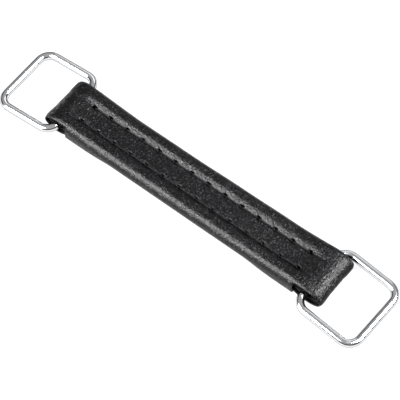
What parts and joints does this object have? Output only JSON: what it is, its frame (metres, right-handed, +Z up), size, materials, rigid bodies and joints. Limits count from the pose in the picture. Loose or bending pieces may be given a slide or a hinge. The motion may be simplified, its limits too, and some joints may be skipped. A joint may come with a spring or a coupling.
{
  "type": "instrument case handle",
  "caption": "Padded leather carrying handle for an instrument case, with a stitched row along each padded edge and a swinging rectangular chromed wire ring looped through each end.",
  "frame": {"origin": "on the resting surface, below the middle of the grip", "axes": "+X along the grip from the left ring to the right ring, +Y across the grip, +Z up out of the padded top"},
  "size_m": [0.173, 0.0342, 0.0088],
  "materials": {
    "cover_leather": "black dyed cowhide, fine pressed grain, low sheen",
    "strap_leather": "black dyed split leather, dull",
    "core_board": "bonded leatherboard, raw",
    "filler_cotton": "soft twisted cotton cord, raw",
    "black_thread": "waxed black polyester thread",
    "chromed_wire": "bright chrome plate on steel wire"
  },
  "bodies": {
    "grip": {"cover": "cover_leather", "load_strap": "strap_leather", "core": "core_board", "filler_cord_near": "filler_cotton", "filler_cord_far": "filler_cotton", "needle_thread_near": "black_thread", "needle_thread_far": "black_thread", "bobbin_thread_near": "black_thread", "bobbin_thread_far": "black_thread"},
    "left_ring": {"ring_left": "chromed_wire"},
    "right_ring": {"ring_right": "chromed_wire"}
  },
  "joints": [
    {"name": "ring_left_swing", "type": "hinge", "parent": "grip", "child": "left_ring", "pos_m": [-0.05866, 0.00063, 0.0042], "axis": [-0.012, 0.9999, 0], "range_deg": [-160, 172]},
    {"name": "ring_right_swing", "type": "hinge", "parent": "grip", "child": "right_ring", "pos_m": [0.05866, -0.00056, 0.0042], "axis": [-0.036, -0.9994, 0], "range_deg": [-160, 172]}
  ]
}
